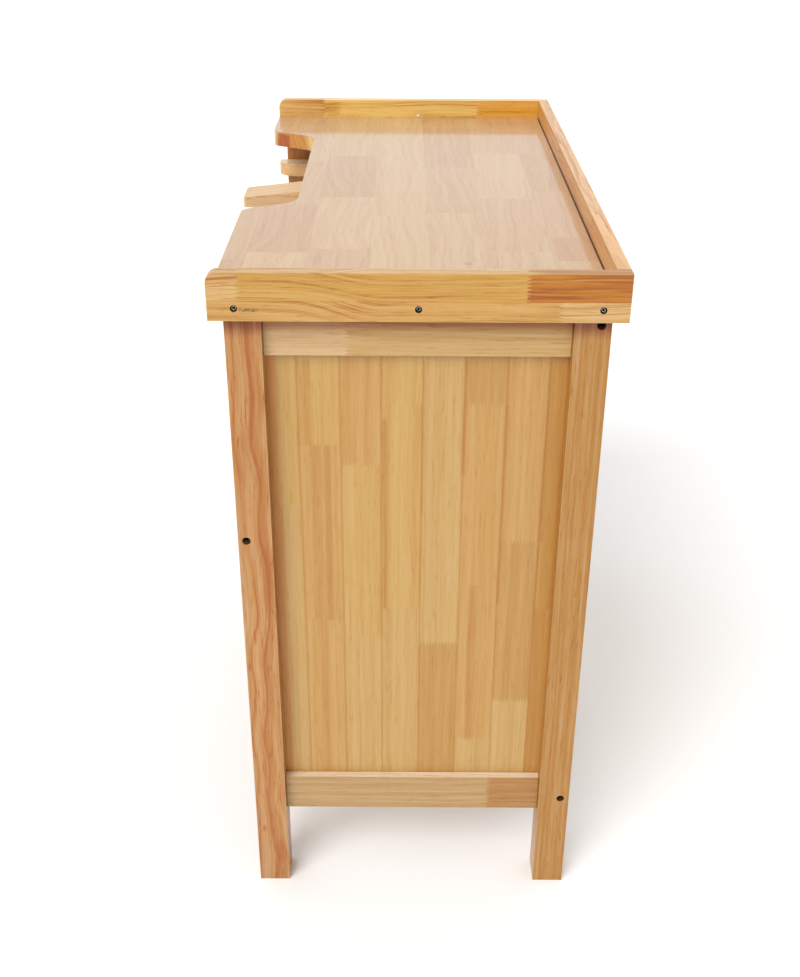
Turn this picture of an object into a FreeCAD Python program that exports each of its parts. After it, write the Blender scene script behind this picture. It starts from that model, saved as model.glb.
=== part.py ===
"""Solid wood jeweller's workbench, as a parametric document of separate pieces, in millimetres.

+Z is up, +X is to the right of a user who sits at the bench, and -Y is the user's side.
The origin is on the floor, at the centre of the whole bench's plan, bench pin included.
"""
import FreeCAD, Part
import os
import re

import Sketcher

SHEET = "Sizes"
SIDES = ("left", "right")
DRAWERS = ("top", "middle", "bottom")

# alias, value, meaning
SIZES = [
    ("width", 1000, "whole bench, left to right"),
    ("depth", 500, "rims, front to back"),
    ("height", 987, "floor to the top of the rims"),
    ("edge_gap", 2, "gap round a drawer front or tray front"),
    ("slide_gap", 0.5, "gap between a sliding piece and what guides it"),
    ("side_gap", 1, "gap beside a sliding arm rest"),

    ("rim_height", 60, "height of the three raised boards"),
    ("rim_thick", 17, "thickness of the three raised boards"),
    ("rim_radius", 14, "rounded front top corner of a side rim"),
    ("lip_height", 31, "rim top above the worktop"),
    ("worktop_thick", 25, "worktop"),
    ("worktop_joint", 1, "dry joint between worktop and back rim"),
    ("cutout_x", -116, "centre of the worktop's cut-out"),
    ("cutout_mouth", 494, "cut-out width at the front edge, before rounding"),
    ("cutout_inner", 414, "cut-out width at its inner edge, before rounding"),
    ("cutout_depth", 76, "cut-out, front to back"),
    ("cutout_radius", 38, "inner corners of the cut-out"),
    ("mouth_radius", 20, "front corners of the cut-out"),

    ("leg_wide", 44, "leg section, left to right"),
    ("leg_deep", 45, "leg section, front to back"),
    ("leg_side_inset", 18, "rim face to leg face, at the sides"),
    ("leg_front_inset", 16, "rim front to leg front"),
    ("leg_back_inset", 17, "rim back to leg back"),

    ("rail_height", 60, "side and back rails"),
    ("rail_thick", 30, "side rails"),
    ("rail_recess", 12, "side rail behind the leg face"),
    ("rail_low_z", 137, "underside of the bottom rails"),
    ("tenon_long", 28, "side rail tenons"),
    ("tenon_shoulder", 8, "shoulder above and below a tenon"),
    ("panel_thick", 10, "side and back panels, and tenons"),
    ("panel_recess", 24, "panel behind the leg face"),
    ("groove_deep", 8, "panel grooves"),
    ("back_rail_thick", 25, "back rails"),
    ("back_panel_recess", 7.5, "back panel behind the back rails' outer face"),
    ("front_rail_z", 589.5, "underside of the front rail"),
    ("front_rail_height", 45, "front rail"),
    ("front_rail_thick", 22, "front rail"),

    ("partition_x", 121, "centre of the partition left of the drawers"),
    ("partition_thick", 18, "partition"),
    ("drawer_pitch", 72, "one drawer to the next"),
    ("front_thick", 20, "drawer fronts and fascia"),
    ("board_thick", 12, "sides and backs of drawers and tray"),
    ("bottom_thick", 5, "bottoms of drawers and tray"),
    ("bottom_lift", 5, "bottom above the lower edge of the sides"),
    ("bottom_groove", 4, "depth of the grooves that hold a bottom"),
    ("drawer_side_height", 44, "drawer sides"),
    ("drawer_long", 400, "drawer sides, front to back"),
    ("drawer_side_gap", 1, "drawer side in from the end of the drawer front"),
    ("runner_wide", 20, "drawer and tray runners"),
    ("runner_height", 14, "drawer and tray runners"),
    ("runner_long", 425, "drawer and tray runners"),
    ("knob_radius", 14, "drawer knobs"),
    ("knob_stem_radius", 7, "neck of a knob"),
    ("knob_stem_long", 7, "neck of a knob"),
    ("knob_head_long", 13, "head of a knob"),
    ("knob_round", 5, "rounded edges of a knob"),
    ("knob_peg_radius", 4, "peg of a knob in the drawer front"),
    ("knob_peg_long", 14, "peg of a knob in the drawer front"),
    ("peg_gap", 0.2, "round peg or screw to its hole"),

    ("tray_front_height", 75, "catch tray front"),
    ("tray_side_height", 60, "catch tray sides"),
    ("tray_long", 380, "catch tray sides, front to back"),
    ("pull_wide", 110, "finger cut-out in the tray front, at the top edge"),
    ("pull_inner", 80, "finger cut-out in the tray front, at its floor"),
    ("pull_deep", 20, "finger cut-out in the tray front"),
    ("pull_radius", 12, "corners of the finger cut-out"),

    ("arm_wide", 40, "arm rest bars"),
    ("arm_thick", 22, "arm rest bars"),
    ("arm_z", 866.5, "underside of the arm rest bars"),
    ("arm_long", 440, "arm rest bars"),
    ("arm_front", 3, "arm rest end behind the worktop's front edge"),
    ("arm_radius", 30, "rounded inner front corner of an arm rest"),
    ("arm_spacing", 602, "one arm rest to the other, centre to centre"),
    ("keeper_thick", 15, "walls of the arm rest keepers"),
    ("keeper_long", 30, "arm rest keepers, front to back"),
    ("keeper_front", 82, "first keeper behind the worktop's front edge"),
    ("keeper_pitch", 160, "one keeper to the next"),

    ("pin_wide", 63, "bench pin"),
    ("pin_overhang", 25, "bench pin in front of the worktop"),
    ("pin_z", 897, "underside of the bench pin"),
    ("pin_tip_thick", 16, "bench pin at its front end"),
    ("pin_root_thick", 28, "bench pin where it leaves its block"),
    ("pin_radius", 5, "front corners of the bench pin"),
    ("block_wide", 130, "block that holds the bench pin"),
    ("block_deep", 42, "block that holds the bench pin"),
    ("block_height", 50, "block that holds the bench pin"),

    ("screw_z", 942.5, "rim screws"),
    ("screw_end", 32, "outer rim screws from the rim's ends"),
    ("screw_head_radius", 3.8, "rim screw heads"),
    ("screw_head_long", 2.6, "rim screw heads"),
    ("screw_sink", 2.2, "rim screw heads below the rim's face"),
    ("screw_bore_radius", 4.1, "counterbores of the rim screws"),
    ("screw_radius", 2, "rim screw shanks"),
    ("screw_long", 34, "rim screw shanks"),
    ("recess_radius", 1.9, "drive recess in a screw head"),
    ("recess_deep", 1.6, "drive recess in a screw head"),
    ("stop_screw_y", 21.5, "small screw inside the left rim"),
    ("stop_screw_lift", 3.6, "small screw above the worktop"),
    ("stop_screw_radius", 2.6, "head of the small screw"),
    ("stop_screw_shank", 1.2, "radius of the small screw's shank"),
    ("stop_screw_head", 0.9, "head of the small screw"),
    ("stop_screw_long", 10, "shank of the small screw"),

    ("bolt_radius", 3, "frame bolts"),
    ("bolt_hole_radius", 3.3, "holes of the frame bolts"),
    ("bolt_long", 76, "frame bolt shanks"),
    ("bolt_head_radius", 5, "frame bolt heads"),
    ("bolt_head_long", 5, "frame bolt heads"),
    ("bolt_socket_radius", 2.5, "drive socket of a frame bolt"),
    ("bolt_socket_deep", 3, "drive socket of a frame bolt"),
    ("bolt_sink", 18, "counterbore of a frame bolt"),
    ("bolt_bore_radius", 5.3, "counterbore of a frame bolt"),
    ("bolt_rim_chamfer", 0.8, "chamfer round a counterbore"),
    ("bolt_top_z", 917, "top back bolts"),
    ("nut_radius", 5, "barrel nuts"),
    ("nut_long", 18, "barrel nuts"),
    ("nut_depth", 36, "barrel nut behind the end of its rail"),
]
ALIASES = [row[0] for row in SIZES]
ALIAS_WORD = re.compile(r"\b(" + "|".join(ALIASES) + r")\b")

doc = FreeCAD.newDocument("JewellersBench")
sheet = doc.addObject("Spreadsheet::Sheet", SHEET)
for row_number, (alias, value, meaning) in enumerate(SIZES, start=1):
    sheet.set(f"A{row_number}", meaning)
    sheet.set(f"B{row_number}", str(value))
    sheet.setAlias(f"B{row_number}", alias)
doc.recompute()

nodes = []

# Places that several pieces share, as expressions of the sheet's aliases.
FRONT = "(pin_overhang - depth) / 2"
BACK = "(pin_overhang + depth) / 2"
WORKTOP_TOP = "(height - lip_height)"
FRAME_TOP = "(height - lip_height - worktop_thick)"
LEG_FRONT = f"({FRONT} + leg_front_inset)"
LEG_BACK = f"({BACK} - leg_back_inset)"
RAIL_TOP_Z = f"({FRAME_TOP} - rail_height)"
RAIL_LOW_TOP = "(rail_low_z + rail_height)"
FRONT_RAIL_TOP = "(front_rail_z + front_rail_height)"
BACK_PANEL_FRONT = f"({LEG_BACK} - back_panel_recess - panel_thick)"
LEG_INNER_X = "(width / 2 - leg_side_inset - leg_wide)"
PARTITION_RIGHT = "(partition_x + partition_thick / 2)"
PARTITION_LEFT = "(partition_x - partition_thick / 2)"
FASCIA_Z = f"({FRONT_RAIL_TOP} + {len(DRAWERS)} * drawer_pitch)"


def bound(text):
    """An expression of aliases, written for setExpression."""
    return ALIAS_WORD.sub(SHEET + r".\1", text)


def bind(piece, **expressions):
    """Bind properties of an object to the sheet; in a name, two underscores stand for a dot."""
    for name, text in expressions.items():
        piece.setExpression(name.replace("__", "."), bound(text))
    return piece


def place(piece, x, y, z):
    return bind(piece, Placement__Base__x=x, Placement__Base__y=y, Placement__Base__z=z)


def node(piece, label):
    """Mark an object as a sub-part that is written to a file of its own."""
    piece.Label = label
    nodes.append(piece)
    return piece


def box(x, y, z):
    """A box from three spans, each a (low, high) pair of expressions."""
    piece = doc.addObject("Part::Box", "Board")
    bind(piece, Length=f"({x[1]}) - ({x[0]})", Width=f"({y[1]}) - ({y[0]})", Height=f"({z[1]}) - ({z[0]})")
    return place(piece, x[0], y[0], z[0])


TURNS = {
    "+X": FreeCAD.Rotation(FreeCAD.Vector(0, 1, 0), 90),
    "-X": FreeCAD.Rotation(FreeCAD.Vector(0, 1, 0), -90),
    "+Y": FreeCAD.Rotation(FreeCAD.Vector(1, 0, 0), -90),
    "-Y": FreeCAD.Rotation(FreeCAD.Vector(1, 0, 0), 90),
}


def rod(x, y, z, towards, radius, length):
    """A cylinder whose first end is at x, y, z and which runs towards a row axis."""
    piece = doc.addObject("Part::Cylinder", "Rod")
    piece.Placement = FreeCAD.Placement(FreeCAD.Vector(), TURNS[towards])
    bind(piece, Radius=radius, Height=length)
    return place(piece, x, y, z)


def cone(x, y, z, towards, radius, end_radius, length):
    """A cone frustum, placed as a rod is."""
    piece = doc.addObject("Part::Cone", "Chamfer")
    piece.Placement = FreeCAD.Placement(FreeCAD.Vector(), TURNS[towards])
    bind(piece, Radius1=radius, Radius2=end_radius, Height=length)
    return place(piece, x, y, z)


def joined(pieces):
    if len(pieces) == 1:
        return pieces[0]
    fusion = doc.addObject("Part::MultiFuse", "Joined")
    fusion.Shapes = pieces
    return fusion


def cut(base, tools):
    difference = doc.addObject("Part::Cut", "Cut")
    difference.Base = base
    difference.Tool = joined(tools)
    difference.Refine = True
    return difference


def group(pieces):
    compound = doc.addObject("Part::Compound", "Group")
    compound.Links = pieces
    return compound


def origin_plane(body, role):
    return next(item for item in body.Origin.OriginFeatures if item.Role == role)


def outline(body, plane, corners):
    """A closed sketch of straight lines; each corner is a pair of expressions in the plane's own axes."""
    sketch = body.newObject("Sketcher::SketchObject", "Outline")
    sketch.AttachmentSupport = [(origin_plane(body, plane), "")]
    sketch.MapMode = "FlatFace"
    start = [FreeCAD.Vector(value_of(u), value_of(v), 0) for u, v in corners]
    count = len(corners)
    for index in range(count):
        sketch.addGeometry(Part.LineSegment(start[index], start[(index + 1) % count]), False)
    for index in range(count):
        sketch.addConstraint(Sketcher.Constraint("Coincident", index, 2, (index + 1) % count, 1))
    for index, corner in enumerate(corners):
        for kind, text, amount in zip(("DistanceX", "DistanceY"), corner, start[index]):
            number = sketch.addConstraint(Sketcher.Constraint(kind, -1, 1, index, 1, amount))
            sketch.renameConstraint(number, f"{kind}{index}")
            sketch.setExpression(f"Constraints.{kind}{index}", bound(text))
    return sketch


def value_of(text):
    """The number that an expression of aliases has now."""
    return float(sheet.evalExpression(bound(text)))


def padded(plane, corners, length, offset):
    """A body padded from an outline that lies at offset; an XZ outline is padded towards -Y."""
    body = doc.addObject("PartDesign::Body", "Body")
    sketch = outline(body, plane, corners)
    pad = body.newObject("PartDesign::Pad", "Pad")
    pad.Profile = sketch
    bind(pad, Length=length)
    normal = {"XY_Plane": "z", "XZ_Plane": "y", "YZ_Plane": "x"}[plane]
    body.setExpression(f"Placement.Base.{normal}", bound(offset))
    doc.recompute()
    return body


def rounded(body, radius, wanted):
    """Fillet the straight edges of a body's tip for which wanted(start, end) is true."""
    base = body.Tip
    names = []
    for number, edge in enumerate(base.Shape.Edges, start=1):
        ends = [vertex.Point for vertex in edge.Vertexes]
        if len(ends) == 2 and wanted(*ends):
            names.append(f"Edge{number}")
    fillet = body.newObject("PartDesign::Fillet", "Fillet")
    fillet.Base = (base, names)
    bind(fillet, Radius=radius)
    doc.recompute()
    return body


def near(number, other):
    return abs(number - other) < 0.01


def along(axis, start, end):
    """True when two points differ along one axis only."""
    return all(near(start[other], end[other]) for other in range(3) if other != axis)


def side_face(side, distance):
    """A place at a distance in from the bench's left or right outer face."""
    return f"width / 2 - ({distance})" if side == "right" else f"-width / 2 + ({distance})"


def from_side(side, first, last):
    """The span between two distances in from the bench's left or right outer face."""
    ends = (side_face(side, first), side_face(side, last))
    return ends[::-1] if side == "right" else ends


def inward(side):
    return "-X" if side == "right" else "+X"


# ---- where the screws and bolts are ----

SIDE_SCREW_Y = (f"{FRONT} + screw_end", f"({FRONT} + {BACK}) / 2", f"{BACK} - screw_end")
BACK_SCREW_X = ("-width * 0.44", "-width * 0.15", "width * 0.15", "width * 0.44")
HEAD_SEAT = "(screw_sink + screw_head_long)"
FRONT_BOLT = (f"{LEG_FRONT} + front_rail_thick / 2", "front_rail_z + front_rail_height / 2")
BACK_BOLT_Y = f"{LEG_BACK} - back_rail_thick / 2"
BACK_BOLTS = {
    "bottom": (BACK_BOLT_Y, "rail_low_z + rail_height / 2"),
    "top": (BACK_BOLT_Y, "bolt_top_z"),
}


def rim_screw_places():
    """Start point and direction of every rim screw, on the rims' outer faces."""
    places = [(side_face(side, "0"), y, inward(side)) for side in SIDES for y in SIDE_SCREW_Y]
    return places + [(x, BACK, "-Y") for x in BACK_SCREW_X]


def rim_screw_holes(towards=None):
    """Counterbores and shank holes of the rim screws, all of them or those that run one way."""
    holes = []
    for x, y, direction in rim_screw_places():
        if towards in (None, direction):
            holes.append(rod(x, y, "screw_z", direction, "screw_bore_radius", HEAD_SEAT))
            holes.append(rod(x, y, "screw_z", direction, "screw_radius + peg_gap",
                             f"{HEAD_SEAT} + screw_long + peg_gap"))
    return holes


# ---- worktop and rims ----

def make_worktop():
    side = "width / 2 - rim_thick"
    back = f"{BACK} - rim_thick - worktop_joint"
    inner = f"{FRONT} + cutout_depth"
    corners = [
        (f"-({side})", FRONT),
        ("cutout_x - cutout_mouth / 2", FRONT),
        ("cutout_x - cutout_inner / 2", inner),
        ("cutout_x + cutout_inner / 2", inner),
        ("cutout_x + cutout_mouth / 2", FRONT),
        (side, FRONT),
        (side, back),
        (f"-({side})", back),
    ]
    body = padded("XY_Plane", corners, "worktop_thick", FRAME_TOP)
    inner_y = value_of(inner)
    mouth_y = value_of(FRONT)
    mouth_x = [value_of(f"cutout_x {sign} cutout_mouth / 2") for sign in "-+"]
    rounded(body, "cutout_radius", lambda a, b: along(2, a, b) and near(a.y, inner_y))
    rounded(body, "mouth_radius",
            lambda a, b: along(2, a, b) and near(a.y, mouth_y) and any(near(a.x, x) for x in mouth_x))
    node(cut(body, rim_screw_holes()), "worktop")


def make_side_rim(side):
    low = "height - rim_height"
    corners = [(FRONT, low), (BACK, low), (BACK, "height"), (FRONT, "height")]
    start = "width / 2 - rim_thick" if side == "right" else "-width / 2"
    body = padded("YZ_Plane", corners, "rim_thick", start)
    top = value_of("height")
    front = value_of(FRONT)
    rounded(body, "rim_radius", lambda a, b: along(0, a, b) and near(a.z, top) and near(a.y, front))
    holes = rim_screw_holes(inward(side))
    if side == "left":
        holes.append(rod("-width / 2 + rim_thick", "stop_screw_y", f"{WORKTOP_TOP} + stop_screw_lift", "-X",
                         "stop_screw_shank + peg_gap", "stop_screw_long + peg_gap"))
    node(cut(body, holes), f"rim_{side}")


def make_back_rim():
    board = box(("-width / 2 + rim_thick", "width / 2 - rim_thick"), (f"{BACK} - rim_thick", BACK),
                ("height - rim_height", "height"))
    node(cut(board, rim_screw_holes("-Y")), "rim_back")


# ---- frame: legs, rails and panels ----

RAIL_Z = {"bottom": ("rail_low_z", RAIL_LOW_TOP), "top": (RAIL_TOP_Z, FRAME_TOP)}
PANEL_Y = (BACK_PANEL_FRONT, f"{BACK_PANEL_FRONT} + panel_thick")
BETWEEN_LEGS_X = (f"-{LEG_INNER_X}", LEG_INNER_X)


def in_leg(side, near_face, far_face):
    """A span inside a side frame, measured in from its legs' outer face."""
    return from_side(side, f"leg_side_inset + {near_face}", f"leg_side_inset + {far_face}")


def panel_x(side):
    return in_leg(side, "panel_recess", "panel_recess + panel_thick")


def groove_span(low, high, level):
    """The panel groove in a rail: along the top of a bottom rail, or the underside of a top rail."""
    return (f"{high} - groove_deep", high) if level == "bottom" else (low, f"{low} + groove_deep")


def bolt_hole(side, y, z):
    """Counterbore, chamfer and shank hole of one frame bolt, from the leg's outer face inwards."""
    start = (side_face(side, "leg_side_inset"), y, z, inward(side))
    return [
        rod(*start, "bolt_hole_radius", "leg_wide"),
        rod(*start, "bolt_bore_radius", "bolt_sink"),
        cone(*start, "bolt_bore_radius + bolt_rim_chamfer", "bolt_bore_radius", "bolt_rim_chamfer"),
    ]


def make_leg(end, side):
    if end == "front":
        span = (LEG_FRONT, f"{LEG_FRONT} + leg_deep")
        mortise_y = (f"{span[1]} - tenon_long", span[1])
        groove_y = (f"{span[1]} - groove_deep", span[1])
        bolts = [FRONT_BOLT]
    else:
        span = (f"{LEG_BACK} - leg_deep", LEG_BACK)
        mortise_y = (span[0], f"{span[0]} + tenon_long")
        groove_y = (span[0], f"{span[0]} + groove_deep")
        bolts = list(BACK_BOLTS.values())
    tools = [box(panel_x(side), mortise_y, (f"{low} + tenon_shoulder", f"{high} - tenon_shoulder"))
             for low, high in RAIL_Z.values()]
    groove_z = (f"{RAIL_LOW_TOP} - tenon_shoulder", f"{RAIL_TOP_Z} + tenon_shoulder")
    tools.append(box(panel_x(side), groove_y, groove_z))
    if end == "back":
        groove_x = in_leg(side, "leg_wide - groove_deep", "leg_wide")
        tools.append(box(groove_x, PANEL_Y, (RAIL_LOW_TOP, RAIL_TOP_Z)))
    for y, z in bolts:
        tools += bolt_hole(side, y, z)
    node(cut(box(in_leg(side, "0", "leg_wide"), span, ("0", FRAME_TOP)), tools), f"leg_{end}_{side}")


def make_side_rail(side, level):
    low, high = RAIL_Z[level]
    start = f"{LEG_FRONT} + leg_deep"
    end = f"{LEG_BACK} - leg_deep"
    rail = joined([
        box(in_leg(side, "rail_recess", "rail_recess + rail_thick"), (start, end), (low, high)),
        box(panel_x(side), (f"{start} - tenon_long", f"{end} + tenon_long"),
            (f"{low} + tenon_shoulder", f"{high} - tenon_shoulder")),
    ])
    groove = box(panel_x(side), (start, end), groove_span(low, high, level))
    node(cut(rail, [groove]), f"side_rail_{level}_{side}")


def make_side_panel(side):
    node(box(panel_x(side),
             (f"{LEG_FRONT} + leg_deep - groove_deep", f"{LEG_BACK} - leg_deep + groove_deep"),
             (f"{RAIL_LOW_TOP} - groove_deep", f"{RAIL_TOP_Z} + groove_deep")), f"side_panel_{side}")


def end_bores(y, z, nut_start, nut_towards):
    """Bolt holes and barrel nut holes in both ends of a bolted rail."""
    tools = []
    bolt_reach = "bolt_long + bolt_sink - leg_wide + peg_gap"
    for side in SIDES:
        x = side_face(side, "leg_side_inset + leg_wide")
        nut_x = side_face(side, "leg_side_inset + leg_wide + nut_depth")
        tools.append(rod(x, y, z, inward(side), "bolt_hole_radius", bolt_reach))
        tools.append(rod(nut_x, nut_start, z, nut_towards, "nut_radius + peg_gap", "nut_long + peg_gap"))
    return tools


def make_back_rail(level):
    low, high = RAIL_Z[level]
    front_face = f"{LEG_BACK} - back_rail_thick"
    tools = end_bores(*BACK_BOLTS[level], front_face, "+Y")
    tools.append(box(BETWEEN_LEGS_X, PANEL_Y, groove_span(low, high, level)))
    node(cut(box(BETWEEN_LEGS_X, (front_face, LEG_BACK), (low, high)), tools), f"back_rail_{level}")


def make_back_panel():
    """One board with tongues all round, which stops short at the four corners."""
    wide = box((f"-({LEG_INNER_X} + groove_deep)", f"{LEG_INNER_X} + groove_deep"), PANEL_Y,
               (RAIL_LOW_TOP, RAIL_TOP_Z))
    tall = box(BETWEEN_LEGS_X, PANEL_Y, (f"{RAIL_LOW_TOP} - groove_deep", f"{RAIL_TOP_Z} + groove_deep"))
    panel = joined([wide, tall])
    panel.Refine = True
    node(panel, "back_panel")


def make_front_rail():
    back_face = f"{LEG_FRONT} + front_rail_thick"
    rail = box(BETWEEN_LEGS_X, (LEG_FRONT, back_face), ("front_rail_z", FRONT_RAIL_TOP))
    node(cut(rail, end_bores(*FRONT_BOLT, back_face, "-Y")), "front_rail")


# ---- arm rests ----

def arm_x(side):
    sign = "+" if side == "right" else "-"
    return f"(cutout_x {sign} arm_spacing / 2)"


def make_arm_rest(side):
    low_x = f"{arm_x(side)} - arm_wide / 2"
    high_x = f"{arm_x(side)} + arm_wide / 2"
    front = f"{FRONT} + arm_front"
    back = f"{front} + arm_long"
    corners = [(low_x, front), (high_x, front), (high_x, back), (low_x, back)]
    body = padded("XY_Plane", corners, "arm_thick", "arm_z")
    inner_x = value_of(low_x if side == "right" else high_x)
    front_y = value_of(front)
    rounded(body, "arm_radius", lambda a, b: along(2, a, b) and near(a.x, inner_x) and near(a.y, front_y))
    node(body, f"arm_rest_{side}")


def make_keepers(side):
    """Two brackets that carry an arm rest: each a U, or a J where the side frame closes the left one."""
    inner = f"{arm_x(side)} {'-' if side == 'right' else '+'} (arm_wide / 2 + side_gap)"
    outer = f"{arm_x(side)} + arm_wide / 2 + side_gap"
    floor = "arm_z - slide_gap"
    under = f"{floor} - keeper_thick"
    if side == "right":
        corners = [
            (f"{inner} - keeper_thick", under),
            (f"{outer} + keeper_thick", under),
            (f"{outer} + keeper_thick", FRAME_TOP),
            (outer, FRAME_TOP),
            (outer, floor),
            (inner, floor),
            (inner, FRAME_TOP),
            (f"{inner} - keeper_thick", FRAME_TOP),
        ]
    else:
        panel_face = in_leg("left", "0", "panel_recess + panel_thick")[1]
        corners = [
            (panel_face, under),
            (f"{inner} + keeper_thick", under),
            (f"{inner} + keeper_thick", FRAME_TOP),
            (inner, FRAME_TOP),
            (inner, floor),
            (panel_face, floor),
        ]
    first = f"{FRONT} + keeper_front + keeper_long"
    keepers = [padded("XZ_Plane", corners, "keeper_long", f"{first} + {row} * keeper_pitch")
               for row in range(2)]
    node(group(keepers), f"arm_rest_keepers_{side}")


# ---- drawer cabinet ----

def make_partition():
    across = (PARTITION_LEFT, PARTITION_RIGHT)
    board = box(across, (LEG_FRONT, BACK_PANEL_FRONT), ("front_rail_z", FRAME_TOP))
    front_notch = box(across, (LEG_FRONT, f"{LEG_FRONT} + front_rail_thick"),
                      ("front_rail_z", FRONT_RAIL_TOP))
    back_notch = box(across, (f"{LEG_BACK} - back_rail_thick", BACK_PANEL_FRONT), RAIL_Z["top"])
    node(cut(board, [front_notch, back_notch]), "cabinet_partition")


def make_fascia():
    deep = (LEG_FRONT, f"{LEG_FRONT} + front_thick")
    board = box((PARTITION_RIGHT, LEG_INNER_X), deep, (FASCIA_Z, FRAME_TOP))
    slot = box((f"{arm_x('right')} - arm_wide / 2 - side_gap", f"{arm_x('right')} + arm_wide / 2 + side_gap"),
               deep, ("arm_z - slide_gap", "arm_z + arm_thick + slide_gap"))
    node(cut(board, [slot]), "cabinet_fascia")


def bay_z(name):
    """Underside of the space that a drawer stands in."""
    return f"({FRONT_RAIL_TOP} + {len(DRAWERS) - 1 - DRAWERS.index(name)} * drawer_pitch)"


def make_runners(label, left_x, right_x, low):
    """A pair of strips between two upright faces, behind the front rail."""
    start = f"{LEG_FRONT} + front_rail_thick"
    spans = {"left": (left_x, f"{left_x} + runner_wide"), "right": (f"{right_x} - runner_wide", right_x)}
    for side, span in spans.items():
        node(box(span, (start, f"{start} + runner_long"), (low, f"{low} + runner_height")), f"{label}_{side}")


def make_tray_box(label, x, y, z):
    """Sides, back and bottom of a drawer or tray; the bottom's own shape cuts the grooves that hold it."""
    inner_x = (f"{x[0]} + board_thick", f"{x[1]} - board_thick")
    groove_top = f"{z[0]} + bottom_lift + bottom_thick"
    bottom_span = (
        (f"{inner_x[0]} - bottom_groove", f"{inner_x[1]} + bottom_groove"),
        (f"{y[0]} - bottom_groove", y[1]),
        (f"{z[0]} + bottom_lift", groove_top),
    )
    for side, span in (("left", (x[0], inner_x[0])), ("right", (inner_x[1], x[1]))):
        node(cut(box(span, y, z), [box(*bottom_span)]), f"{label}_side_{side}")
    node(box(inner_x, (f"{y[1]} - board_thick", y[1]), (groove_top, z[1])), f"{label}_back")
    node(box(*bottom_span), f"{label}_bottom")
    return box(*bottom_span)


def make_drawer(name):
    label = f"drawer_{name}"
    front_x = (f"{PARTITION_RIGHT} + edge_gap", f"{LEG_INNER_X} - edge_gap")
    front_y = (LEG_FRONT, f"{LEG_FRONT} + front_thick")
    front_z = (f"{bay_z(name)} + edge_gap", f"{bay_z(name)} + drawer_pitch")
    low = f"{bay_z(name)} + side_gap + runner_height + slide_gap"
    groove = make_tray_box(label, (f"{front_x[0]} + drawer_side_gap", f"{front_x[1]} - drawer_side_gap"),
                           (front_y[1], f"{front_y[1]} + drawer_long"), (low, f"{low} + drawer_side_height"))
    x = f"({PARTITION_RIGHT} + {LEG_INNER_X}) / 2"
    z = f"{bay_z(name)} + (edge_gap + drawer_pitch) / 2"
    peg_hole = rod(x, LEG_FRONT, z, "+Y", "knob_peg_radius + peg_gap", "knob_peg_long + peg_gap")
    node(cut(box(front_x, front_y, front_z), [groove, peg_hole]), f"{label}_front")
    make_knob(f"{label}_knob", x, LEG_FRONT, z)


def make_knob(label, x, y, z):
    """A turned knob with a peg, its axis front to back, standing on the face at y."""
    body = doc.addObject("PartDesign::Body", "Knob")
    tip = "-(knob_stem_long + knob_head_long)"
    profile = outline(body, "XY_Plane", [
        ("0", "knob_peg_long"),
        ("0", tip),
        ("knob_radius", tip),
        ("knob_radius", "-knob_stem_long"),
        ("knob_stem_radius", "-knob_stem_long"),
        ("knob_stem_radius", "0"),
        ("knob_peg_radius", "0"),
        ("knob_peg_radius", "knob_peg_long"),
    ])
    turned = body.newObject("PartDesign::Revolution", "Turned")
    turned.Profile = profile
    turned.ReferenceAxis = (profile, ["V_Axis"])
    turned.Angle = 360
    doc.recompute()
    radius = value_of("knob_radius")
    names = [f"Edge{number}" for number, edge in enumerate(turned.Shape.Edges, start=1)
             if isinstance(edge.Curve, Part.Circle) and near(edge.Curve.Radius, radius)]
    fillet = body.newObject("PartDesign::Fillet", "Fillet")
    fillet.Base = (turned, names)
    bind(fillet, Radius="knob_round")
    node(place(body, x, y, z), label)


# ---- catch tray ----

def make_catch_tray():
    left = f"-{LEG_INNER_X}"
    make_runners("tray_runner", left, PARTITION_LEFT, f"{FRONT_RAIL_TOP} - runner_height")
    x = (f"{left} + edge_gap", f"{PARTITION_LEFT} - edge_gap")
    back_face = f"{LEG_FRONT} + front_thick"
    low = f"{FRONT_RAIL_TOP} + slide_gap"
    groove = make_tray_box("tray", (f"{x[0]} + drawer_side_gap", f"{x[1]} - drawer_side_gap"),
                           (back_face, f"{back_face} + tray_long"), (low, f"{low} + tray_side_height"))
    front_low = f"{FRONT_RAIL_TOP} + edge_gap"
    top = f"{front_low} + tray_front_height"
    pull_z = f"{top} - pull_deep"
    middle = f"({x[0]} + {x[1]}) / 2"
    front = padded("XZ_Plane", [
        (x[0], front_low),
        (x[1], front_low),
        (x[1], top),
        (f"{middle} + pull_wide / 2", top),
        (f"{middle} + pull_inner / 2", pull_z),
        (f"{middle} - pull_inner / 2", pull_z),
        (f"{middle} - pull_wide / 2", top),
        (x[0], top),
    ], "front_thick", back_face)
    floor_z = value_of(pull_z)
    rounded(front, "pull_radius", lambda a, b: along(1, a, b) and near(a.z, floor_z))
    node(cut(front, [groove]), "tray_front")


# ---- bench pin ----

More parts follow.
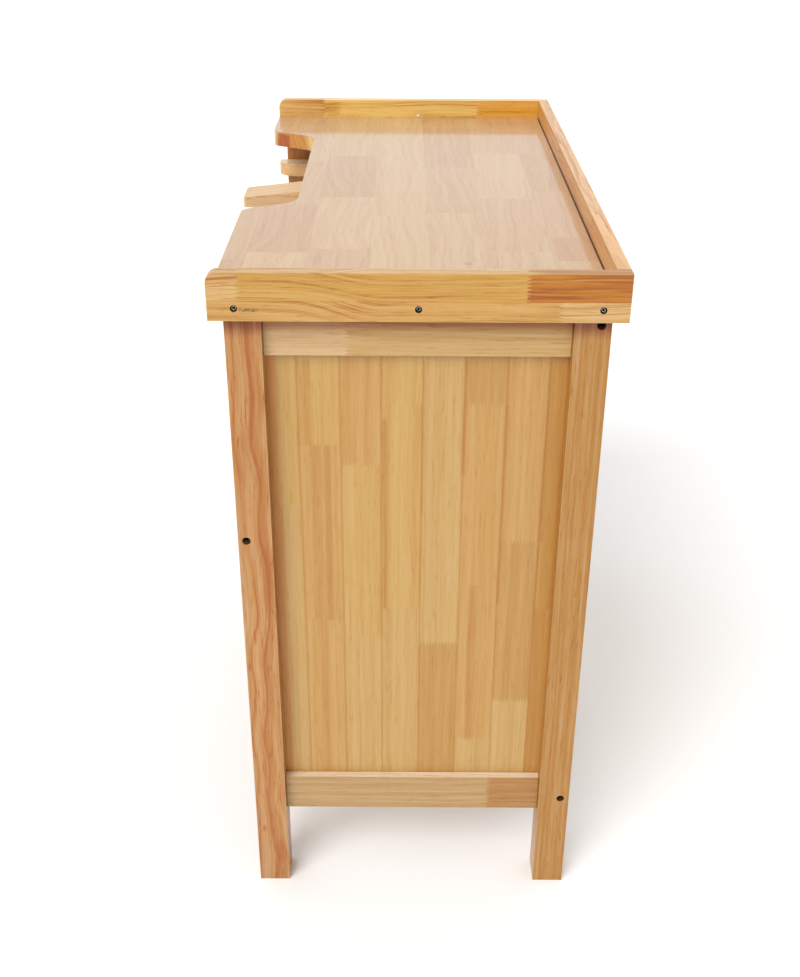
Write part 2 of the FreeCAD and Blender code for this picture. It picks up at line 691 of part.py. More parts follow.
def make_bench_pin():
    tip = f"{FRONT} - pin_overhang"
    block_front = f"{FRONT} + cutout_depth + edge_gap"
    block_back = f"{block_front} + block_deep"
    side_view = [
        (tip, "pin_z"),
        (block_back, "pin_z"),
        (block_back, "pin_z + pin_root_thick"),
        (block_front, "pin_z + pin_root_thick"),
        (tip, "pin_z + pin_tip_thick"),
    ]
    body = padded("YZ_Plane", side_view, "pin_wide", "cutout_x - pin_wide / 2")
    tip_y = value_of(tip)
    rounded(body, "pin_radius", lambda a, b: along(2, a, b) and near(a.y, tip_y))
    node(body, "bench_pin")
    block = box(("cutout_x - block_wide / 2", "cutout_x + block_wide / 2"), (block_front, block_back),
                (f"{FRAME_TOP} - block_height", FRAME_TOP))
    mortise = box(("cutout_x - pin_wide / 2", "cutout_x + pin_wide / 2"), (block_front, block_back),
                  ("pin_z", "pin_z + pin_root_thick"))
    node(cut(block, [mortise]), "bench_pin_block")


# ---- fasteners ----

def shifted(x, y, direction, distance):
    """A point moved from x, y along a row axis by an expression's distance."""
    sign = direction[0]
    return (f"{x} {sign} {distance}", y) if direction[1] == "X" else (x, f"{y} {sign} {distance}")


def make_headed(x, y, z, direction, sizes):
    """A screw or bolt from the outer face of its head; its sizes are those of head, shank and recess."""
    head, shank, recess = sizes
    seat = shifted(x, y, direction, head[1])
    whole = joined([rod(x, y, z, direction, *head), rod(*seat, z, direction, *shank)])
    return cut(whole, [rod(x, y, z, direction, *recess)])


# Radius and length of the head, the shank and the recess in the head.
RIM_SCREW = (
    ("screw_head_radius", "screw_head_long"),
    ("screw_radius", "screw_long"),
    ("recess_radius", "recess_deep"),
)
STOP_SCREW = (
    ("stop_screw_radius", "stop_screw_head"),
    ("stop_screw_shank", "stop_screw_long"),
    ("stop_screw_shank", "stop_screw_head / 2"),
)
FRAME_BOLT = (
    ("bolt_head_radius", "bolt_head_long"),
    ("bolt_radius", "bolt_long"),
    ("bolt_socket_radius", "bolt_socket_deep"),
)


def make_rim_screws():
    screws = []
    for x, y, direction in rim_screw_places():
        head_x, head_y = shifted(x, y, direction, "screw_sink")
        screws.append(make_headed(head_x, head_y, "screw_z", direction, RIM_SCREW))
    screws.append(make_headed("-width / 2 + rim_thick + stop_screw_head", "stop_screw_y",
                              f"{WORKTOP_TOP} + stop_screw_lift", "-X", STOP_SCREW))
    node(group(screws), "rim_screws")


def make_frame_bolts():
    bolts = []
    nuts = []
    back_face = f"{LEG_BACK} - back_rail_thick"
    rows = [(*FRONT_BOLT, f"{LEG_FRONT} + front_rail_thick", "-Y")]
    rows += [(y, z, back_face, "+Y") for y, z in BACK_BOLTS.values()]
    for side in SIDES:
        head_x = side_face(side, "leg_side_inset + bolt_sink - bolt_head_long")
        rail_end = side_face(side, "leg_side_inset + leg_wide")
        nut_x = side_face(side, "leg_side_inset + leg_wide + nut_depth")
        for y, z, nut_y, nut_towards in rows:
            bolts.append(make_headed(head_x, y, z, inward(side), FRAME_BOLT))
            nut = rod(nut_x, nut_y, z, nut_towards, "nut_radius", "nut_long")
            nuts.append(cut(nut, [rod(rail_end, y, z, inward(side), "bolt_radius + peg_gap", "bolt_long")]))
    node(group(bolts), "frame_bolts")
    node(group(nuts), "barrel_nuts")


def write_parts():
    """Check every object of the document, then write one STEP file for each sub-part."""
    doc.recompute()
    failed = [item.Name for item in doc.Objects if {"Invalid", "Error"} & set(item.State)]
    if failed:
        raise RuntimeError(f"failed objects: {failed}")
    for piece in nodes:
        if piece.Shape.isNull() or not piece.Shape.isValid():
            raise RuntimeError(f"bad shape: {piece.Label}")
    os.makedirs("parts", exist_ok=True)
    for piece in nodes:
        piece.Shape.exportStep(f"parts/{piece.Label}.step")
    print(f"{len(nodes)} sub-parts written")


make_worktop()
make_back_rim()
make_back_panel()
make_front_rail()
for level in RAIL_Z:
    make_back_rail(level)
for side in SIDES:
    make_side_rim(side)
    make_side_panel(side)
    make_arm_rest(side)
    make_keepers(side)
    for level in RAIL_Z:
        make_side_rail(side, level)
    for end in ("front", "back"):
        make_leg(end, side)
make_partition()
make_fascia()
for name in DRAWERS:
    make_runners(f"drawer_runner_{name}", PARTITION_RIGHT, LEG_INNER_X, f"{bay_z(name)} + side_gap")
    make_drawer(name)
make_catch_tray()
make_bench_pin()
make_rim_screws()
make_frame_bolts()
write_parts()
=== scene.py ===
"""A jeweller's workbench in varnished, finger-jointed wood: its looks, light and camera."""
import math
import random

import bmesh
import bpy
from mathutils import Matrix, Vector


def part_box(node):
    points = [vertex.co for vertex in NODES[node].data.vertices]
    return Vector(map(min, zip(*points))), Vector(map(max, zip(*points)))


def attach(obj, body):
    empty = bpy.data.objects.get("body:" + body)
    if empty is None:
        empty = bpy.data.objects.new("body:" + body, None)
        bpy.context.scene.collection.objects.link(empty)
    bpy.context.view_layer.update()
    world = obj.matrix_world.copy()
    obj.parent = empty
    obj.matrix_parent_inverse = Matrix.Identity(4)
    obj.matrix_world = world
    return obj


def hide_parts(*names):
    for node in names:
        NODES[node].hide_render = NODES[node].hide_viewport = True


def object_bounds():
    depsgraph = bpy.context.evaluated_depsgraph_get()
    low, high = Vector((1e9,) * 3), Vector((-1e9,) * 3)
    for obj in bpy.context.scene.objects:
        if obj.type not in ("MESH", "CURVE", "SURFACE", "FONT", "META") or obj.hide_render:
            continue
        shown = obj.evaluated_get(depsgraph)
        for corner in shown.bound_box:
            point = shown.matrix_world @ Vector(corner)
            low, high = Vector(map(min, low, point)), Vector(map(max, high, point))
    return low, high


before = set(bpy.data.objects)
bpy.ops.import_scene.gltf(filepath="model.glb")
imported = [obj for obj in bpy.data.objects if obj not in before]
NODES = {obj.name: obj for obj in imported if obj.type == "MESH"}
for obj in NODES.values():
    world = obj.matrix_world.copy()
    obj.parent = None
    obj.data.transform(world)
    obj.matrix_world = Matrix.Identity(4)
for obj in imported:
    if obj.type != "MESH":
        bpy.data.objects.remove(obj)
cad_low, cad_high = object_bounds()
MM = 0.001
AXES = "XYZ"
OPAQUE = (1.0,)


# ---- tones of the wood, as sRGB 0 to 255 ----

TONES = {
    # worktop
    "cream": (195, 160, 116),
    "shell": (192, 157, 114),
    "rose": (190, 152, 111),
    "fawn": (186, 146, 104),
    # panels and cabinet
    "bone": (188, 150, 89),
    "straw": (189, 149, 83),
    "wheat": (186, 142, 78),
    "ginger": (180, 136, 71),
    "amber": (178, 129, 54),
    # near and back rims
    "honey": (190, 144, 64),
    "corn": (192, 146, 75),
    "blond": (199, 159, 99),
    "russet": (177, 110, 20),
    "copper": (211, 151, 74),
    "peach": (208, 152, 86),
    # left rim
    "sun": (230, 191, 108),
    "brass": (220, 162, 60),
    "maize": (214, 168, 98),
    # legs, rails, pin and arm rests
    "sorrel": (177, 124, 67),
    "tawny": (169, 120, 53),
    # partly painted light: the front left leg's tone, a little brighter and more orange than the other
    # legs', for light on it
    "lit_ember": (184, 126, 62),
    "oat": (198, 164, 117),
    "barley": (190, 152, 95),
    "hay": (176, 142, 93),
    "bran": (167, 119, 62),
    "almond": (208, 173, 130),
    "butter": (208, 164, 110),
}


def linear(rgb):
    """An sRGB colour, 0 to 255, as the linear one that a shader takes."""
    shares = [value / 255 for value in rgb]
    return tuple(s / 12.92 if s <= 0.04045 else ((s + 0.055) / 1.055) ** 2.4 for s in shares) + OPAQUE


# ---- node graphs ----

class Graph:
    """Short ways to add nodes to one material."""

    def __init__(self, name):
        self.material = bpy.data.materials.new(name)
        self.material.use_nodes = True
        self.tree = self.material.node_tree
        self.tree.nodes.clear()

    def add(self, kind, inputs=None, **settings):
        made = self.tree.nodes.new("ShaderNode" + kind)
        for name, value in settings.items():
            setattr(made, name, value)
        for socket, value in (inputs or {}).items():
            self.feed(made.inputs[socket], value)
        return made

    def feed(self, socket, value):
        if isinstance(value, bpy.types.NodeSocket):
            self.tree.links.new(value, socket)
        else:
            socket.default_value = value

    def math(self, operation, first, second=0.0, third=0.0, clamp=False):
        made = self.add("Math", {0: first, 1: second, 2: third}, operation=operation, use_clamp=clamp)
        return made.outputs[0]

    def vector(self, along, across, deep):
        return self.add("CombineXYZ", {0: along, 1: across, 2: deep}).outputs[0]

    def mix(self, share, first, second, blend="MIX"):
        made = self.add("Mix", data_type="RGBA", blend_type=blend, clamp_factor=True)
        self.feed(made.inputs[0], share)
        self.feed(made.inputs[6], first)
        self.feed(made.inputs[7], second)
        return made.outputs[2]

    def blend(self, share, first, second):
        return self.add("Mix", {0: share, 2: first, 3: second}, data_type="FLOAT").outputs[0]

    def noise(self, vector, scale=1.0, detail=2.0, rough=0.5):
        inputs = {"Vector": vector, "Scale": scale, "Detail": detail, "Roughness": rough}
        return self.add("TexNoise", inputs).outputs[0]

    def ramp(self, value, low, high):
        """0 at low and under, 1 at high and over, smooth between them."""
        made = self.add("MapRange", {0: value, 1: low, 2: high}, interpolation_type="SMOOTHSTEP")
        return made.outputs[0]

    def band(self, value, low, high, soft):
        """1 between low and high, 0 further than soft outside them."""
        rise = self.ramp(value, low - soft, low + soft)
        fall = self.ramp(value, high - soft, high + soft)
        return self.math("SUBTRACT", rise, fall, clamp=True)

    def product(self, *values):
        total = values[0]
        for value in values[1:]:
            total = self.math("MULTIPLY", total, value)
        return total

    def wave(self, value):
        """Smooth noise along one number, about one swing for each whole step of it."""
        made = self.add("TexNoise", {"W": value, "Scale": 1.0, "Detail": 2.0}, noise_dimensions="1D")
        return made.outputs[0]

    def length(self, first, second):
        squares = self.math("ADD", self.product(first, first), self.product(second, second))
        return self.math("SQRT", squares)

    def tinted(self, share, tone, tint):
        """Tone, multiplied by tint where share is 1."""
        return self.mix(share, tone, self.mix(1.0, tone, tint, "MULTIPLY"))

    def grain_noise(self, place, along, across, detail=2.0, rough=0.5):
        """Noise drawn out along the grain; place is (far, side, deep), and the scales are per metre."""
        scaled = [self.math("MULTIPLY", value, by) for value, by in zip(place, (along, across, across))]
        return self.noise(self.vector(*scaled), detail=detail, rough=rough)

    def finish(self, **inputs):
        shader = self.add("BsdfPrincipled", {k.replace("_", " "): v for k, v in inputs.items()})
        output = self.add("OutputMaterial", {"Surface": shader.outputs[0]})
        output.is_active_output = True
        return self.material


# ---- where the screws and bolts are ----

SAME_POINT = 0.01 * MM  # points of a mesh this near each other are one


def islands(mesh):
    """The separate solids of one mesh, each as a list of its points."""
    parent = list(range(len(mesh.vertices)))

    def top(index):
        while parent[index] != index:
            parent[index] = parent[parent[index]]
            index = parent[index]
        return index

    places = {}
    for vertex in mesh.vertices:
        spot = tuple(round(value / SAME_POINT) for value in vertex.co)
        parent[top(vertex.index)] = top(places.setdefault(spot, vertex.index))
    for edge in mesh.edges:
        parent[top(edge.vertices[0])] = top(edge.vertices[1])
    groups = {}
    for vertex in mesh.vertices:
        groups.setdefault(top(vertex.index), []).append(vertex.co)
    return list(groups.values())


def box_of(points):
    """The (low, high) of some points along each axis."""
    along_axes = [[point[axis] for point in points] for axis in range(3)]
    return [(min(values), max(values)) for values in along_axes]


def is_proud(points):
    """True for the small screw that stands proud of the left rim and has no bore."""
    return sorted(high - low for low, high in box_of(points))[1] < PROUD_WIDTH


FASTENERS = {name: islands(NODES[name].data) for name in ("rim_screws", "frame_bolts")}
BORES = {"rim": ("rim_screws", 4.4 * MM), "leg": ("frame_bolts", 5.5 * MM)}      # and their radius
BORE_SOFT = 0.2 * MM
BORE_SHADE = (0.060, 0.026, 0.010, 1.0)       # painted shade inside a bore
PROUD_WIDTH = 6 * MM                    # a screw narrower than this has no bore


def paint_bore_shade(graph, position, tone, node):
    """Paints shade into the bores of one rim or leg, which are too narrow for light to reach."""
    source, radius = BORES[node.split("_")[0]]
    low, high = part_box(node)
    for points in FASTENERS[source]:
        spans = box_of(points)
        axis = max(range(3), key=lambda a: spans[a][1] - spans[a][0])
        others = [a for a in range(3) if a != axis]
        if is_proud(points) or any(high[a] < spans[a][0] or low[a] > spans[a][1] for a in range(3)):
            continue
        gaps = [graph.math("SUBTRACT", position[a], sum(spans[a]) / 2) for a in others]
        inside = graph.math("SUBTRACT", 1.0, graph.ramp(graph.length(*gaps), radius - BORE_SOFT, radius))
        tone = graph.mix(inside, tone, BORE_SHADE)
    return tone


# ---- wood ----

PLAIN = {
    "streak": 0.30,       # broad bands of darker and lighter wood
    "rings": 0.22,        # growth rings
    "lines": 0.25,        # thin dark late-wood lines
    "fibre": 0.50,        # fine fibres
    "pores": 0.55,        # short dark vessel marks
    "ring_pitch": 5.5,    # millimetres from ring to ring
    "warp": 9.0,          # millimetres that the grain wanders
    "bends": 2.2,         # how often it wanders, per metre
    "sweep": (0.0, 1.0, 0.0),   # millimetres: the grain sweeps across the board from here, to here, so far
    "finger": 4.0,        # half the length of the finger joints, millimetres
    "dark": (0.80, 0.60, 0.38),     # what dark grain multiplies the tone by
    "coat": 0.35,         # varnish
    "coat_rough": 0.16,
    "gloss": 0.30,        # specular level under the varnish
    "rough": 0.42,
    "bump": 0.25,
    "rubbed": 0.16,       # how much painted light the upward faces get
    "glue": 0.35,         # millimetres, half the width of the glue lines
    "soak": 1.0,          # how much darker the end grain is
    "strip": 60,          # millimetres, the usual width of a strip
    "block": 400,         # millimetres, the usual length of a block
    "tones": ("straw", "wheat", "ginger", "bone"),
}
FINGER_PITCH = 4.4 * MM
# Width of the lighter edges, which are partly wear and partly painted highlight.
EDGE_WEAR_AND_SHEEN = 1.6 * MM
END_GRAIN = (0.88, 0.56, 0.24, 1.0)     # end grain soaks up varnish and goes dark
TOP_LIGHT_PAINTED = (0.92, 0.80, 0.62, 1.0)      # painted light: upward faces are painted paler, as if lit from above
PALE_GRAIN = (1.0, 0.92, 0.70, 1.0)     # what pale grain tends to
PALE_SHARE = 0.14
GLUE_DARK = 0.55                        # how dark a glue line is
STREAKS_PER_RING = 0.42
LATE_SHARP = 6.0                        # how thin the late-wood lines are
BLOCKS_APART = (9.0, 3.0)               # metres between the places blocks are sawn from, at most
RELIEF_DEEP = 0.25 * MM                 # of pores and fibres

# Noise along and across the grain, per metre.
BEND_ACROSS = 6.0
FADE_SCALE = (5.0, 25.0)
FIBRE_SCALE = (10.0, 300.0)
VESSEL_SCALE = (34.0, 400.0)


def strip_layout(graph, along, across, strips, low, high, finger, glue):
    """The tone and a seed of the block that a point lies in, and how near a glue line it is."""
    comb = graph.math("PINGPONG", across, FINGER_PITCH / 2)
    jag = graph.math("MULTIPLY_ADD", comb, 4 * finger / FINGER_PITCH, -finger)
    jagged = graph.math("ADD", along, jag)
    place = graph.add("MapRange", {0: jagged, 1: low, 2: high}).outputs[0]
    tone = seed = seam = None
    for number, (start, blocks) in enumerate(strips):
        ramp = graph.add("ValToRGB", {0: place})
        ramp.color_ramp.interpolation = "CONSTANT"
        elements = ramp.color_ramp.elements
        while len(elements) > 1:
            elements.remove(elements[-1])
        for index, (begin, name) in enumerate(blocks):
            share = max(0.0, (begin - low) / (high - low)) if index else 0.0
            element = elements[0] if index == 0 else elements.new(share)
            element.position = share
            element.color = linear(TONES[name])[:3] + (((number * 7 + index * 3) % 23 + 1) / 24,)
        if tone is None:
            tone, seed = ramp.outputs[0], ramp.outputs[1]
            seam = graph.math("MULTIPLY", across, 0.0)
            continue
        inside = graph.math("GREATER_THAN", across, start)
        tone = graph.mix(inside, tone, ramp.outputs[0])
        seed = graph.blend(inside, seed, ramp.outputs[1])
        off = graph.math("ABSOLUTE", graph.math("SUBTRACT", across, start))
        line = graph.math("SUBTRACT", 1.0, graph.ramp(off, glue * 0.3, glue * 1.6))
        seam = graph.math("MAXIMUM", seam, line)
    return tone, seed, seam


def edge_mask(graph, position, low, high):
    """1 along the edges of the box from low to high, 0 on its faces."""
    near = []
    for axis in range(3):
        from_low = graph.math("SUBTRACT", position[axis], low[axis])
        from_high = graph.math("SUBTRACT", high[axis], position[axis])
        gap = graph.math("MINIMUM", from_low, from_high)
        near.append(graph.math("SUBTRACT", 1.0, graph.ramp(gap, 0.0, EDGE_WEAR_AND_SHEEN)))
    pairs = [graph.math("MULTIPLY", near[a], near[b]) for a, b in ((0, 1), (1, 2), (0, 2))]
    return graph.math("MAXIMUM", pairs[0], graph.math("MAXIMUM", pairs[1], pairs[2]))


def wood(node, grain, face, strips=None, extra=None, **look):
    """Varnished wood for one CAD node: its grain runs along one axis, its strips lie side by side
    along face, and extra adds the node's own marks."""
    look = {**PLAIN, **look}
    graph = Graph("wood_" + node)
    low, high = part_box(node)
    g, f = AXES.index(grain), AXES.index(face)
    d = 3 - g - f
    rng = random.Random(node)
    if strips is None:
        strips = random_strips(low, high, g, f, rng, look)
    coordinates = graph.add("TexCoord").outputs["Object"]
    split = graph.add("SeparateXYZ", {0: coordinates})
    position = [split.outputs[axis] for axis in range(3)]
    along, across, deep = position[g], position[f], position[d]
    tone, seed, seam = strip_layout(graph, along, across, strips, low[g], high[g],
                                    look["finger"] * MM, look["glue"] * MM)

    # Every block is sawn from another place: its own stretch of grain and its own pith.
    key = graph.math("MULTIPLY_ADD", seed, 31.7, rng.uniform(0, 50))
    dice = graph.add("TexWhiteNoise", {"W": key}, noise_dimensions="1D").outputs[1]
    dice = graph.add("SeparateColor", {0: dice})
    far = graph.math("MULTIPLY_ADD", dice.outputs[0], BLOCKS_APART[0], along)
    side = graph.math("MULTIPLY_ADD", dice.outputs[1], BLOCKS_APART[1], across)
    place = (far, side, deep)

    bend = graph.grain_noise(place, look["bends"], BEND_ACROSS)
    warp = look["warp"] * MM
    flow = graph.math("MULTIPLY_ADD", deep, 0.6, graph.math("MULTIPLY_ADD", bend, 4 * warp, across))
    sweep_from, sweep_to, sweep_by = (value * MM for value in look["sweep"])
    flow = graph.math("MULTIPLY_ADD", graph.ramp(along, sweep_from, sweep_to), sweep_by, flow)
    turns = graph.math("MULTIPLY_ADD", flow, 1000 / look["ring_pitch"], graph.math("MULTIPLY", seed, 40.0))
    streak = graph.wave(graph.math("MULTIPLY", turns, STREAKS_PER_RING))
    rings = graph.wave(turns)
    uneven = graph.math("MULTIPLY_ADD", rings, 2.2, graph.math("MULTIPLY", turns, 0.6))
    fade = graph.grain_noise(place, *FADE_SCALE)
    late = graph.math("POWER", graph.math("FRACT", uneven), LATE_SHARP)
    late = graph.product(late, graph.ramp(fade, 0.34, 0.62))

    fibre = graph.grain_noise(place, *FIBRE_SCALE, detail=4.0, rough=0.65)
    pores = graph.ramp(graph.grain_noise(place, *VESSEL_SCALE), 0.59, 0.68)

    # Above 0 the wood is darker than its block's tone, under 0 lighter.
    shade = graph.math("MULTIPLY_ADD", late, look["lines"], 0.0)
    for swing, strength in ((streak, look["streak"]), (rings, look["rings"]), (fibre, look["fibre"])):
        shade = graph.math("ADD", shade, graph.math("MULTIPLY_ADD", swing, 4 * strength, -2 * strength))
    shade = graph.math("MULTIPLY_ADD", pores, look["pores"], shade)
    shade = graph.math("MULTIPLY_ADD", seam, GLUE_DARK, shade)
    if extra:
        shade, tone = extra(graph, position, shade, tone)
    # Edges are made lighter: partly wear, partly a painted highlight on the rounded, varnished edges.
    edge_wear_and_sheen = edge_mask(graph, position, low, high)
    worn_and_sheen = graph.math("MULTIPLY", edge_wear_and_sheen, graph.math("MULTIPLY_ADD", streak, 0.9, 0.05))
    shade = graph.math("SUBTRACT", shade, worn_and_sheen)

    normal = graph.add("SeparateXYZ", {0: graph.add("TexCoord").outputs["Normal"]})
    across_grain = graph.ramp(graph.math("ABSOLUTE", normal.outputs[g]), 0.55, 0.95)
    across_grain = graph.math("MULTIPLY", across_grain, look["soak"])
    tone = graph.tinted(across_grain, tone, END_GRAIN)
    # Painted light: upward faces are made paler, standing in for light from above.
    if look["rubbed"]:
        upward = graph.ramp(normal.outputs[2], 0.80, 0.98)
        tone = graph.mix(graph.math("MULTIPLY", upward, look["rubbed"]), tone, TOP_LIGHT_PAINTED)
    # Painted shade in the bores of the screws and bolts.
    if node.split("_")[0] in BORES:
        tone = paint_bore_shade(graph, position, tone, node)
    darker = graph.mix(1.0, tone, look["dark"] + OPAQUE, "MULTIPLY")
    lighter = graph.mix(PALE_SHARE, tone, PALE_GRAIN)
    colour = graph.mix(graph.math("MULTIPLY", shade, -1.0, clamp=True), tone, lighter)
    colour = graph.mix(graph.math("MULTIPLY", shade, 1.0, clamp=True), colour, darker)

    relief = graph.math("MULTIPLY_ADD", pores, -0.8, fibre)
    relief = graph.math("MULTIPLY_ADD", seam, -1.5, relief)
    bump = graph.add("Bump", {"Height": relief, "Strength": look["bump"], "Distance": RELIEF_DEEP})
    polish = graph.math("MULTIPLY_ADD", fibre, 0.16, look["rough"] - 0.08)
    material = graph.finish(Base_Color=colour, Roughness=polish, Normal=bump.outputs[0],
                            Specular_IOR_Level=look["gloss"],
                            Coat_Weight=look["coat"], Coat_Roughness=look["coat_rough"])
    dress(node, material)


def random_strips(low, high, g, f, rng, look):
    """Strips of the usual width, jointed from blocks of random length and tone."""
    wide, long = look["strip"] * MM, look["block"] * MM
    count = max(1, round((high[f] - low[f]) / wide))
    strips = []
    for number in range(count):
        start = low[f] + (high[f] - low[f]) * number / count
        place, blocks = low[g], []
        while place < high[g]:
            blocks.append((place, rng.choice(look["tones"])))
            place += long * rng.uniform(0.5, 1.5)
        strips.append((start, blocks))
    return strips


def dress(node, material):
    thing = NODES[node]
    thing.data.materials.clear()
    thing.data.materials.append(material)


def in_metres(strips):
    return [(start * MM, [(begin * MM, tone) for begin, tone in blocks]) for start, blocks in strips]


# Each strip, in millimetres: where it starts across the board, and its blocks, which are where each
# starts along the board, and its tone.
WORKTOP_STAVES = [
    (-238, [(-483, "rose"), (355, "fawn")]),
    (-208, [(-483, "shell"), (-150, "rose"), (105, "fawn"), (328, "cream")]),
    (-129, [(-483, "shell"), (-185, "fawn"), (62, "cream"), (312, "rose")]),
    (-50, [(-483, "cream"), (155, "cream")]),
    (29, [(-483, "fawn"), (-115, "rose"), (142, "shell")]),
    (108, [(-483, "rose"), (-205, "cream"), (65, "rose"), (320, "shell")]),
    (187, [(-483, "rose"), (-215, "fawn"), (25, "rose"), (255, "fawn"), (355, "shell")]),
]
PANEL_STAVES = [
    (-185, [(189, "bone"), (650, "straw")]),
    (-138, [(189, "wheat"), (470, "wheat"), (742, "straw")]),
    (-85, [(189, "bone"), (445, "straw"), (712, "wheat")]),
    (-33, [(189, "bone"), (490, "straw"), (800, "straw")]),
    (20, [(189, "ginger"), (430, "bone")]),
    (73, [(189, "bone"), (260, "wheat"), (800, "ginger")]),
    (126, [(189, "bone"), (330, "ginger"), (597, "wheat")]),
    (178, [(189, "amber"), (490, "amber")]),
]
RIM_STRIPS = [
    (927, [(-238, "corn"), (180, "blond")]),
    (952, [(-238, "blond"), (-201, "honey"), (140, "russet")]),
]
FAR_RIM_STRIPS = [
    (927, [(-238, "sun"), (-155, "sun"), (110, "brass")]),
    (952, [(-238, "maize"), (-155, "sun"), (130, "brass")]),
]
TOP_RAIL_STRIPS = [(871, [(-205, "oat"), (-75, "barley")])]
BOTTOM_RAIL_STRIPS = [(137, [(-205, "hay"), (125, "bran")])]


def knot(graph, along, across, place, size):
    """1 in the heart of a knot, 0 outside it; place and size are (along, across) in millimetres."""
    gaps = [graph.math("MULTIPLY_ADD", value, 1 / (half * MM), -centre / half)
            for value, centre, half in zip((along, across), place, size)]
    return graph.math("SUBTRACT", 1.0, graph.ramp(graph.length(*gaps), 0.35, 1.0))


STRIPE_SOFT = 3 * MM


def stripe(graph, position, across, along):
    """1 in a stripe; across and along are (axis, low, high) in millimetres."""
    return graph.product(*[graph.band(position[AXES.index(axis)], low * MM, high * MM, STRIPE_SOFT)
                           for axis, low, high in (across, along)])


WALL = (1.12, 1.12, 0.52, 1.0)          # sawn sides of the worktop
CUT_WALL = (0.74, 0.38, 0.12, 1.0)      # end grain of the dark stave at its front
SAWN_BELOW = 33 * MM                    # the sawn sides start this far under the rims' tops
JOINT_DARK = linear((52, 28, 12))       # dark lines painted along the joints round the back rim


def worktop_marks(graph, position, shade, tone):
    """A small knot, sawn sides, and a dark line along the joint with the back rim."""
    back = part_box("worktop")[1][1]
    joint = graph.ramp(position[1], back - 1.4 * MM, back - 0.8 * MM)
    tone = graph.mix(graph.math("MULTIPLY", joint, 0.9), tone, JOINT_DARK)
    mark = knot(graph, position[0], position[1], (370, 75), (9, 7))
    shade = graph.math("MULTIPLY_ADD", mark, 0.7, shade)
    top = cad_high[2] - SAWN_BELOW
    below = graph.math("SUBTRACT", 1.0, graph.ramp(position[2], top - 3 * MM, top))
    front_stave = WORKTOP_STAVES[1][0] * MM
    ahead = graph.math("SUBTRACT", 1.0, graph.ramp(position[1], front_stave - 1 * MM, front_stave + 1 * MM))
    tone = graph.tinted(below, tone, WALL)
    normal = graph.add("SeparateXYZ", {0: graph.add("TexCoord").outputs["Normal"]})
    end_grain = graph.ramp(graph.math("ABSOLUTE", normal.outputs[0]), 0.55, 0.95)
    slanted = graph.math("MULTIPLY_ADD", position[1], 260.0, graph.math("MULTIPLY", position[2], 100.0))
    figure = graph.product(below, end_grain, graph.ramp(graph.wave(slanted), 0.42, 0.60))
    shade = graph.math("MULTIPLY_ADD", figure, 0.8, shade)
    return shade, graph.tinted(graph.product(below, ahead, end_grain), tone, CUT_WALL)


def worktop_wood():
    wood("worktop", "X", "Y", in_metres(WORKTOP_STAVES), worktop_marks, finger=0.0, streak=0.20, rings=0.20,
         lines=0.48, fibre=0.26, pores=0.36, coat=0.75, coat_rough=0.09, gloss=0.2, rough=0.38, bump=0.12,
         ring_pitch=9.0, warp=24.0, bends=3.4, rubbed=0.0, dark=(0.82, 0.66, 0.50))


SCUFFS_ALONG = (-198 * MM, -178 * MM)
SCUFFS_UP = (939 * MM, 942 * MM)
SPECK_SCALE = 420.0                     # per metre
SCUFFED = linear((46, 30, 18))
RESIN_SCALE = (4.0, 190.0)              # along and across, per metre


def near_rim_marks(graph, position, shade, tone):
    """Scuffs beside the front screw, resin streaks in the dark block, and one tone along the top."""
    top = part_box("rim_right")[1][2]
    upper = graph.ramp(position[2], top - 1.6 * MM, top - 0.8 * MM)
    tone = graph.mix(upper, tone, linear(TONES["honey"]))
    window = graph.product(graph.band(position[1], *SCUFFS_ALONG, 4 * MM),
                           graph.band(position[2], *SCUFFS_UP, 2 * MM))
    spot = graph.add("TexCoord").outputs["Object"]
    specks = graph.ramp(graph.noise(spot, SPECK_SCALE), 0.43, 0.53)
    scuff = graph.product(window, specks)
    streaky = graph.noise(graph.vector(graph.math("MULTIPLY", position[1], RESIN_SCALE[0]), 0.0,
                                       graph.math("MULTIPLY", position[2], RESIN_SCALE[1])))
    low, blocks = RIM_STRIPS[1]
    start = blocks[-1][0]
    resin = graph.product(graph.ramp(streaky, 0.50, 0.62),
                          graph.ramp(position[1], (start - 1) * MM, (start + 1) * MM),
                          graph.ramp(position[2], (low - 0.5) * MM, (low + 0.5) * MM))
    shade = graph.math("MULTIPLY_ADD", resin, 0.9, shade)
    return shade, graph.mix(graph.math("MULTIPLY", scuff, 0.85), tone, SCUFFED)


def far_rim_marks(graph, position, shade, tone):
    """An orange, knotty patch."""
    patch = knot(graph, position[1], position[2], (-140, 972), (24, 22))
    return graph.math("MULTIPLY_ADD", patch, 0.5, shade), tone


def back_rim_marks(graph, position, shade, tone):
    """A calmer outer face, and dark lines along the joints with the worktop and with the side rims."""
    (_, face, _), (end, back, _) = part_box("rim_back")
    outer = graph.ramp(position[1], back - 1.5 * MM, back - 0.7 * MM)
    tone = graph.mix(graph.math("MULTIPLY", outer, 0.7), tone, linear(TONES["corn"]))
    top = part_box("worktop")[1][2]
    ends = graph.ramp(graph.math("ABSOLUTE", position[0]), end - 2.4 * MM, end - 1.4 * MM)
    low = graph.math("SUBTRACT", 1.0, graph.ramp(position[2], top + 0.2 * MM, top + 0.8 * MM))
    inner = graph.math("SUBTRACT", 1.0, graph.ramp(position[1], face + 0.5 * MM, face + 1.5 * MM))
    joint = graph.math("MAXIMUM", ends, graph.product(low, inner))
    return shade, graph.mix(graph.math("MULTIPLY", joint, 0.9), tone, JOINT_DARK)


